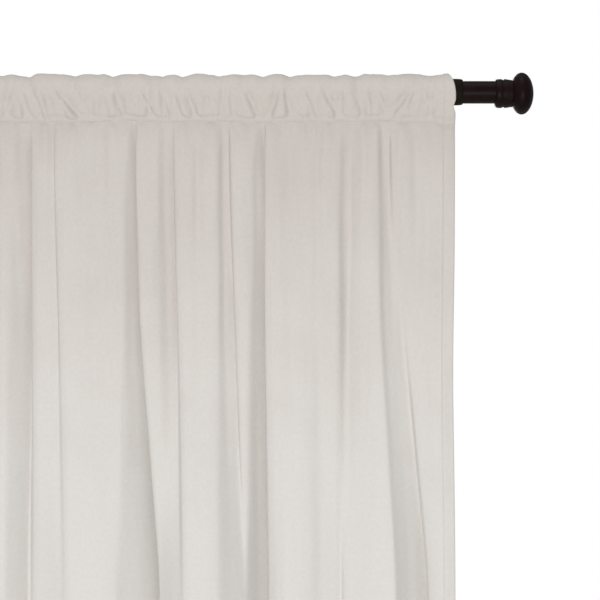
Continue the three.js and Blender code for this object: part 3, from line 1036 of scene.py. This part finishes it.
# %% The creases of the pocket
CREASES = [
    # x at rod height, x at the seam, depth, left width, right width
    (-96, -87, 3.0, 5, 2), (-81, -72, 3.4, 5, 2), (-68, -60, 3.2, 2, 5), (-47, -18, 4.4, 2, 7),
    (-13, -9, 2.2, 4, 4), (3, 10, 2.4, 5, 3), (22, 35, 3.8, 2, 6), (55, 75, 3.4, 6, 2), (80, 79, 2.6, 2, 4),
    (84, 93, 3.6, 2, 6), (96, 109, 3.4, 5, 2), (114, 124, 3.2, 5, 2), (136, 133, 2.2, 3, 5),
    (157, 151, 3.2, 2, 5), (171, 172, 2.0, 5, 4), (188, 203, 3.6, 2, 6), (223, 212, 3.6, 6, 2),
    (237, 245, 3.2, 2, 5), (253, 250, 2.4, 5, 3), (262, 272, 3.2, 5, 2), (288, 304, 3.6, 2, 5),
    (306, 310, 3.6, 5, 2), (330, 334, 2.0, 4, 4), (344, 345, 2.8, 2, 5), (355, 366, 2.8, 6, 3),
    (388, 364, 4.0, 6, 2), (398, 391, 3.0, 2, 5), (411, 404, 3.0, 5, 2), (424, 420, 1.6, 4, 4),
]
TOP_NOTCHES = (-32, 17, 64, 79, 105, 152, 183, 207, 241, 271, 298, 324, 366, 417)
FRONT_WALK = 36 * MM


def more_creases(start, end, seed):
    """Creases for the stretches with no plan of their own."""
    random = np.random.default_rng(seed)
    x = start
    made = []
    while x < end:
        lean = random.uniform(-16, 16)
        wide = random.permutation([2.0, 5.5])
        made.append((x, x + lean, random.uniform(2.0, 4.0), wide[0], wide[1]))
        x += random.uniform(11, 23)
    return made


small_creases = [
    (top, foot, 0.45 * depth, left, right)
    for top, foot, depth, left, right in more_creases(-400, 430, 14)
]
front_creases = CREASES + more_creases(-402, -104, 3) + small_creases
back_creases = more_creases(-400, 432, 8)
notches = TOP_NOTCHES + tuple(crease[0] for crease in more_creases(-402, -60, 21)[::2])
print(len(front_creases), "creases in front,", len(back_creases), "behind")


# %% [markdown]
# Now the depth of it all. The cloth stands out from the outline in puffs, and the creases are dents in
# them, deepest beside the seam and almost gone over the top. There the scallops take over. The lowest
# places stop just outside the rod, so the tube never shows through.

# %% Depth of the puffs and creases
DEEPEST = -1.3 * MM


def dip(distance, left, right):
    """A dent that falls off quickly on a narrow side and slowly on a wide one."""
    width = np.where(distance < 0, left, right) * 1.55 * MM
    return np.exp(-(np.abs(distance) / width) ** 1.6)


def crease_field(x, s, creases):
    total = np.zeros(x.shape)
    share = s / FRONT_WALK
    for number, (top, foot, depth, left, right) in enumerate(creases):
        bow = 1.5 * MM * math.sin(number * 1.7) * np.sin(math.pi * np.clip(share, 0, 1.4))
        line = (foot + (top - foot) * np.clip(share, -0.2, 1.5)) * MM + bow
        strength = 1.45 * depth * MM * (0.85 + 0.15 * math.sin(number * 2.3 + 1))
        total += strength * dip(x - line, left, right)
    return total


def pocket_lift(x, s):
    """How far the cloth stands out from the outline at place x along the rod and s round the pocket."""
    back_s = pocket_round - ALLOWANCE - s
    from_seam = np.minimum(s - 0.8 * MM, back_s)
    full = ease(from_seam / (15 * MM))
    high = ease((s - 33 * MM) / (16 * MM)) * ease((back_s - 33 * MM) / (16 * MM))
    front = ease((pocket_top_s - s) / (14 * MM) + 0.5)
    creased = front * crease_field(x, s, front_creases) + (1 - front) * crease_field(x, back_s, back_creases)
    scallops = np.zeros(x.shape)
    for number, notch in enumerate(notches):
        drift = 5 * MM * math.sin(number * 2.1) * (s - pocket_top_s) / (30 * MM)
        scallops += (3.1 + math.sin(number * 1.9)) * MM * dip(x - notch * MM - drift, 5.5, 5.5)
    arc = 4.2 * MM + 2.4 * MM * ripples(x, x * 0, 0.022, 33)
    tucks = 1.1 * MM * np.exp(-(((from_seam - arc) / (1.7 * MM)) ** 2))
    tucks = tucks * np.clip(2 * ripples(x, x * 0, 0.03, 31) + 0.5, 0, 1)
    puff = (4.6 + 0.8 * ripples(x, s, 0.04, 32) + 0.35 * ripples(x, s, 0.016, 35)) * MM * full
    above_seam = np.exp(-(((from_seam - 11 * MM) / (5 * MM)) ** 2))
    puff += 1.3 * MM * np.clip(ripples(x, x * 0, 0.026, 34) + 0.3, 0, 1) * above_seam
    puff = puff - creased * ease(from_seam / (7 * MM)) * (1 - 0.82 * high)
    return np.maximum(puff - scallops * high - 1.5 * tucks, DEEPEST)


def pocket_surface(x, s, extra=0.0):
    """The pile side of the pocket; extra moves out from it."""
    lift = pocket_lift(x, s) + extra
    y = np.interp(s, outline_s, outline_y) + lift * np.interp(s, outline_s, outward_y)
    z = np.interp(s, outline_s, outline_z) + lift * np.interp(s, outline_s, outward_z)
    back_s = pocket_round - ALLOWANCE - s
    near_seam = 1 - ease(np.minimum(s, back_s) / (30 * MM))
    return np.stack([x, y, z + seam_wave(x) * near_seam], axis=-1)


# %% [markdown]
# With outline and depth in hand, the pocket is again an open sheet: columns along the rod, rows round it.
# The flat place of each point, which the velvet's patterns use, comes from its share of the whole width.

# %% The pocket
POCKET_COLUMNS = 500
POCKET_ROWS = 84
pocket_x = np.linspace(left_hem_line - 0.5 * MM, right_hem_line + 0.5 * MM, POCKET_COLUMNS)
pocket_s = np.linspace(pocket_round, 0, POCKET_ROWS)
grid_x, grid_s = np.meshgrid(pocket_x, pocket_s)
pocket_points = pocket_surface(grid_x, grid_s)
flat_share = (pocket_x - left_edge) / (right_edge - left_edge)
pocket = open_sheet("pocket_cloth", pocket_points, flat_share[None, :] * CLOTH_WIDE, pocket_s[:, None])
pocket_normal = pocket.data.polygons[POCKET_COLUMNS * (POCKET_ROWS // 2)].normal
print("pocket faces out" if pocket_normal.z > 0 else "pocket faces in")
thicken(pocket, CLOTH_THICK)
finish_piece(pocket, "curtain", ["rod_pocket"], "velvet", velvet, woven_back)
packs_when_drawn(pocket)

# %% [markdown]
# Along each side the cloth is turned under twice and sewn, so the hem is a flat band three layers thick
# with a rounded outer edge. Its section is a long thin loop. The front of the loop carries straight on from
# the panel's pile side, and the panel's own edge is caught inside.

# %% The section of a hem
HEM_THICK = 4.0 * MM
HEM_PROUD = 0.45 * MM


def hem_section(width, thick=HEM_THICK):
    """Points (along the cloth, out of it) round a hem: front, outer edge, back."""
    round_r = thick / 2
    middle = HEM_PROUD - round_r
    front = np.linspace(0, width - round_r, 9)
    points = []
    for a in front:
        inner_groove = 0.12 * MM * math.exp(-(a / (1.2 * MM)) ** 2)
        points.append((a, HEM_PROUD * float(ease(a / (5 * MM))) - inner_groove))
    for angle in np.linspace(90, -90, 9)[1:-1]:
        points.append((
            width - round_r + round_r * math.cos(math.radians(angle)),
            middle + round_r * math.sin(math.radians(angle)),
        ))
    back = np.linspace(width - round_r, -1.5 * MM, 8)
    for a in back:
        thinner = 1.2 * MM * (1 - float(ease((a + 1.5 * MM) / (5 * MM))))
        points.append((a, HEM_PROUD - thick + thinner))
    return np.array(points)


def side_hem(side):
    """Loops down one side of the curtain, from the seam to the bottom."""
    heights = np.concatenate([
        panel_heights, np.linspace(bottom_hem_top, bottom_z + 1.2 * MM, 8), [bottom_z + 0.3 * MM],
    ])
    section = hem_section(HEM_WIDE)
    loops = np.empty((len(heights), len(section), 3))
    for number, height in enumerate(heights):
        along, x, y, steps = cloth_line(height)
        if side == "right":
            along, x, y, steps = along[-1] - along[::-1], x[::-1], y[::-1], steps[-1] - steps[::-1]
        away = steps[1] * (1 - section[:, 0] / HEM_WIDE)
        tangent_x = np.interp(away, along, np.gradient(x))
        tangent_y = np.interp(away, along, np.gradient(y))
        size = np.hypot(tangent_x, tangent_y)
        turn = 1 if side == "left" else -1
        out_x, out_y = turn * tangent_y / size, -turn * tangent_x / size
        loops[number, :, 0] = np.interp(away, along, x) + out_x * section[:, 1]
        loops[number, :, 1] = np.interp(away, along, y) + out_y * section[:, 1]
        loops[number, :, 2] = height
    loops[:, :, 2] += seam_wave(loops[:, :, 0]) * np.exp((loops[:, :, 2] - seam_z) / SEAM_FADE)
    flat = np.empty((*loops.shape[:2], 2))
    flat[:, :, 0] = section[None, :, 0] + (0 if side == "left" else CLOTH_WIDE)
    flat[:, :, 1] = heights[:, None]
    return closed_band(side + "_hem_cloth", loops, flat)


left_hem = side_hem("left")
finish_piece(left_hem, "curtain", ["left_side_hem"], "velvet", velvet)
right_hem = side_hem("right")
finish_piece(right_hem, "leading_edge", ["right_side_hem"], "velvet", velvet)

# %% [markdown]
# The hem goes on round the rod as the end of the pocket. It is the same band, led round the outline of
# the pocket in place of down the curtain. Its corner is soft: over the top of the rod the edge is drawn in.

# %% The two ends of the pocket
END_WIDE = 16.0 * MM


def edge_draw_in(s):
    """How far the pocket's end is drawn in, all the way round."""
    from_top = np.abs(s - pocket_top_s)
    over_top = 9.5 * MM * np.exp(-((from_top / (17 * MM)) ** 2))
    waist = 2.6 * MM * np.exp(-(((from_top - 49 * MM) / (6 * MM)) ** 2))
    return over_top + waist


def pocket_end(side):
    section = hem_section(END_WIDE)
    around = np.linspace(0.2 * MM, pocket_round - ALLOWANCE, 120)
    loops = np.empty((len(around), len(section), 3))
    turn = 1 if side == "right" else -1
    line = right_hem_line if side == "right" else left_hem_line
    for number, s in enumerate(around):
        shrink = 1 - edge_draw_in(s) / END_WIDE
        x = line + turn * section[:, 0] * np.where(section[:, 0] > 0, shrink, 1)
        loops[number] = pocket_surface(x, np.full(len(section), s), section[:, 1])
    flat = np.empty((*loops.shape[:2], 2))
    flat[:, :, 0] = section[None, :, 0] + (0 if side == "left" else CLOTH_WIDE)
    flat[:, :, 1] = around[:, None]
    return closed_band(side + "_pocket_end_cloth", loops, flat)


left_end = pocket_end("left")
finish_piece(left_end, "curtain", ["left_pocket_end"], "velvet", velvet)
right_end = pocket_end("right")
finish_piece(right_end, "leading_edge", ["right_pocket_end"], "velvet", velvet)

# %% [markdown]
# The bottom hem is a deep band, four inches high, turned under twice like the sides. It follows the same
# folds as the cloth above it. Its front carries on from the panel, its lower edge is rounded, and its back
# comes up behind to the line of stitches.

# %% The bottom hem
BOTTOM_THICK = 5.0 * MM
HEM_ROWS = 12


def bottom_hem_loops():
    heights = np.linspace(bottom_hem_top, bottom_z + BOTTOM_THICK / 2, HEM_ROWS)
    front = cloth_rows(heights)
    along = np.gradient(front, axis=1)
    size = np.hypot(along[:, :, 0], along[:, :, 1])
    out = np.stack([along[:, :, 1] / size, -along[:, :, 0] / size, np.zeros(size.shape)], axis=-1)
    below = (bottom_hem_top - heights)[:, None, None]
    proud = HEM_PROUD * ease(below / (6 * MM))
    back_thick = BOTTOM_THICK - 2.0 * MM * (1 - ease(below / (8 * MM)))
    face = front + out * proud
    back = front + out * (proud - back_thick)
    middle = (face[-1] + back[-1]) / 2
    under = []
    for angle in np.linspace(90, -90, 9)[1:-1]:
        a = math.radians(angle)
        ring = middle + (face[-1] - middle) * math.sin(a)
        ring[:, 2] -= BOTTOM_THICK / 2 * math.cos(a)
        under.append(ring)
    return np.concatenate([face, np.array(under), back[::-1]]).transpose(1, 0, 2)


hem_loops = bottom_hem_loops()
hem_flat = np.empty((*hem_loops.shape[:2], 2))
hem_flat[:, :, 0] = panel_across.T
hem_flat[:, :, 1] = bottom_hem_top - np.linspace(0, 0.21, hem_loops.shape[1])[None, :]
bottom_hem = closed_band("bottom_hem_cloth", hem_loops, hem_flat)
finish_piece(bottom_hem, "curtain", ["bottom_hem"], "velvet", velvet)
packs_when_drawn(bottom_hem)

# %% [markdown]
# Lockstitching is a row of short runs of thread, each diving into the cloth at both ends. There are well
# over a thousand of them, so one stitch is only a small six-sided bead with two points, and every row is
# one mesh. Each stitch lies along its seam and sinks a little into the pile.

# %% Helper: a row of stitches
STITCH_PITCH = 3.5 * MM
STITCH_LONG = 2.9 * MM
THREAD_R = 0.38 * MM


def stitch_row(name, path, out):
    """path is a dense line on the cloth, out the way out of the cloth at its points."""
    steps = np.concatenate([[0.0], np.cumsum(np.linalg.norm(np.diff(path, axis=0), axis=1))])
    centres = np.arange(STITCH_PITCH, steps[-1] - STITCH_PITCH, STITCH_PITCH)
    points, faces = [], []
    rings = ((-0.36, 0.85, -0.25), (0.0, 1.0, 0.0), (0.36, 0.85, -0.25))
    for centre in centres:
        place = np.array([np.interp(centre, steps, path[:, k]) for k in range(3)])
        ahead = np.array([np.interp(centre + 1 * MM, steps, path[:, k]) for k in range(3)]) - place
        ahead /= np.linalg.norm(ahead)
        up = np.array([np.interp(centre, steps, out[:, k]) for k in range(3)])
        up -= ahead * up.dot(ahead)
        up /= np.linalg.norm(up)
        across = np.cross(ahead, up)
        first = len(points)
        points.append(place - ahead * STITCH_LONG / 2 - up * THREAD_R * 1.6)
        for share, size, sink in rings:
            middle = place + ahead * STITCH_LONG * share + up * THREAD_R * (sink + 0.15)
            for corner in range(6):
                angle = math.pi * corner / 3
                points.append(middle + THREAD_R * size * (up * math.cos(angle) + across * math.sin(angle)))
        points.append(place + ahead * STITCH_LONG / 2 - up * THREAD_R * 1.6)
        last = len(points) - 1
        for corner in range(6):
            beside = (corner + 1) % 6
            faces.append((first, first + 1 + beside, first + 1 + corner))
            for ring in range(2):
                low = first + 1 + 6 * ring
                faces.append((low + corner, low + beside, low + 6 + beside, low + 6 + corner))
            faces.append((last, last - 6 + corner, last - 6 + beside))
    points = np.array(points)
    piece = cloth_object(name, points, faces, points[:, :2])
    face_outwards(piece)
    return piece


def stitched(piece, body, node, packs):
    finish_piece(piece, body, [node], "thread", sewing_thread)
    if packs:
        packs_when_drawn(piece)


# %% [markdown]
# Two rows run right across. The first closes the pocket and follows every pucker of the seam. The second
# holds the bottom hem and goes in and out with the folds.

# %% The stitches of the pocket and the bottom hem
seam_x = np.linspace(left_hem_line - 2 * MM, right_hem_line + 2 * MM, 900)
seam_line = pocket_surface(seam_x, np.full(900, 1.6 * MM), 0.15 * MM)
forward = np.tile([0.0, -1.0, 0.0], (900, 1))
pocket_stitches = stitch_row("pocket_stitches", seam_line, forward)
stitched(pocket_stitches, "curtain", "pocket_seam_thread", True)

hem_line = hem_loops[:, 1, :] + [0, -0.25 * MM, 0]
hem_stitches = stitch_row("bottom_hem_stitches", hem_line, np.tile([0.0, -1.0, 0.0], (len(hem_line), 1)))
stitched(hem_stitches, "curtain", "bottom_hem_thread", True)


# %% [markdown]
# The stitches of a side hem start behind the rod. They climb the back of the pocket, pass over the top and
# come down its front, then follow the hem to the floor. So the path is made in two parts and joined: first
# round the pocket's end, then down the band of the hem.

# %% The stitches of the side hems
HEM_LINE_IN = 1.3 * MM  # from the hem's inner edge to its stitches


def round_the_pocket(side):
    """The stitch line from the back seam over the top to the front seam, and the way out of the cloth."""
    s = np.linspace(pocket_round - ALLOWANCE, 0.6 * MM, 260)
    turn = 1 if side == "right" else -1
    hem_line = right_hem_line if side == "right" else left_hem_line
    x = hem_line + turn * HEM_LINE_IN * (1 - edge_draw_in(s) / END_WIDE)
    line = pocket_surface(x, s, 0.15 * MM)
    return line, pocket_surface(x, s, 1.15 * MM) - line


def side_stitches(side, piece, body):
    corners = np.array([vertex.co for vertex in piece.data.vertices])
    band = corners.reshape(-1, len(hem_section(HEM_WIDE)), 3)
    line = band[:, 1, :] * 0.7 + band[:, 0, :] * 0.3
    ahead = band[:, 2, :] - band[:, 0, :]
    turn = 1 if side == "right" else -1
    out = np.stack([turn * ahead[:, 1], -turn * ahead[:, 0], np.zeros(len(ahead))], axis=-1)
    out /= np.linalg.norm(out, axis=1)[:, None]
    over, over_out = round_the_pocket(side)
    path = np.concatenate([over, line[1:] + out[1:] * 0.10 * MM])
    stitches = stitch_row(side + "_hem_stitches", path, np.concatenate([over_out, out[1:]]))
    stitched(stitches, body, side + "_hem_thread", False)
    return stitches


left_stitches = side_stitches("left", left_hem, "curtain")
right_stitches = side_stitches("right", right_hem, "leading_edge")

# %% [markdown]
# A care label is sewn to the back of the left hem. It is a folded strip of satin, blank here, that curls
# away from the cloth at its free end.

# %% The care label
LABEL_THICK = 0.55 * MM


def back_of_left_hem(x, height):
    """How far back the rear face of the left hem lies."""
    along, line_x, line_y, steps = cloth_line(height)
    return np.interp(x, np.maximum.accumulate(line_x), line_y) + HEM_THICK - HEM_PROUD


def make_label():
    low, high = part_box("care_label")
    down = np.linspace(0, 1, 24)[:, None]
    wide = np.linspace(low.x, high.x, 7)
    heights = high.z - (high.z - low.z) * down + 0 * wide
    over_the_hem = np.maximum(wide, left_edge + 2 * MM)
    hem_back = np.array([back_of_left_hem(over_the_hem, row[0]) for row in heights])
    ripple = 0.25 * MM * np.sin(wide * 400) * down
    layers = []
    for depth in (0.0, LABEL_THICK):
        y = hem_back + 0.1 * MM + depth + 2.2 * MM * down ** 2 + ripple
        layers.append(np.stack([np.broadcast_to(wide, y.shape), y, heights], axis=-1))
    loops = np.concatenate([layers[0], layers[1][:, ::-1]], axis=1)
    flat = np.stack([loops[:, :, 0] - low.x, loops[:, :, 2] - low.z], axis=-1)
    return closed_band("care_label_satin", loops, flat)


label = make_label()
finish_piece(label, "curtain", ["care_label"], "label", label_satin)

# %% [markdown]
# The curtain was cut as one width of velvet, a little wider than the folds it now hangs in. The length of
# the panel along its folds is printed, high and low.


def folded_width(row):
    """The length of one row of the panel, along all its folds."""
    return float(np.hypot(np.diff(panel_rows[row, :, 0]), np.diff(panel_rows[row, :, 1])).sum())


print("along the folds", round(folded_width(6), 3), "m high and", round(folded_width(-8), 3), "m low")
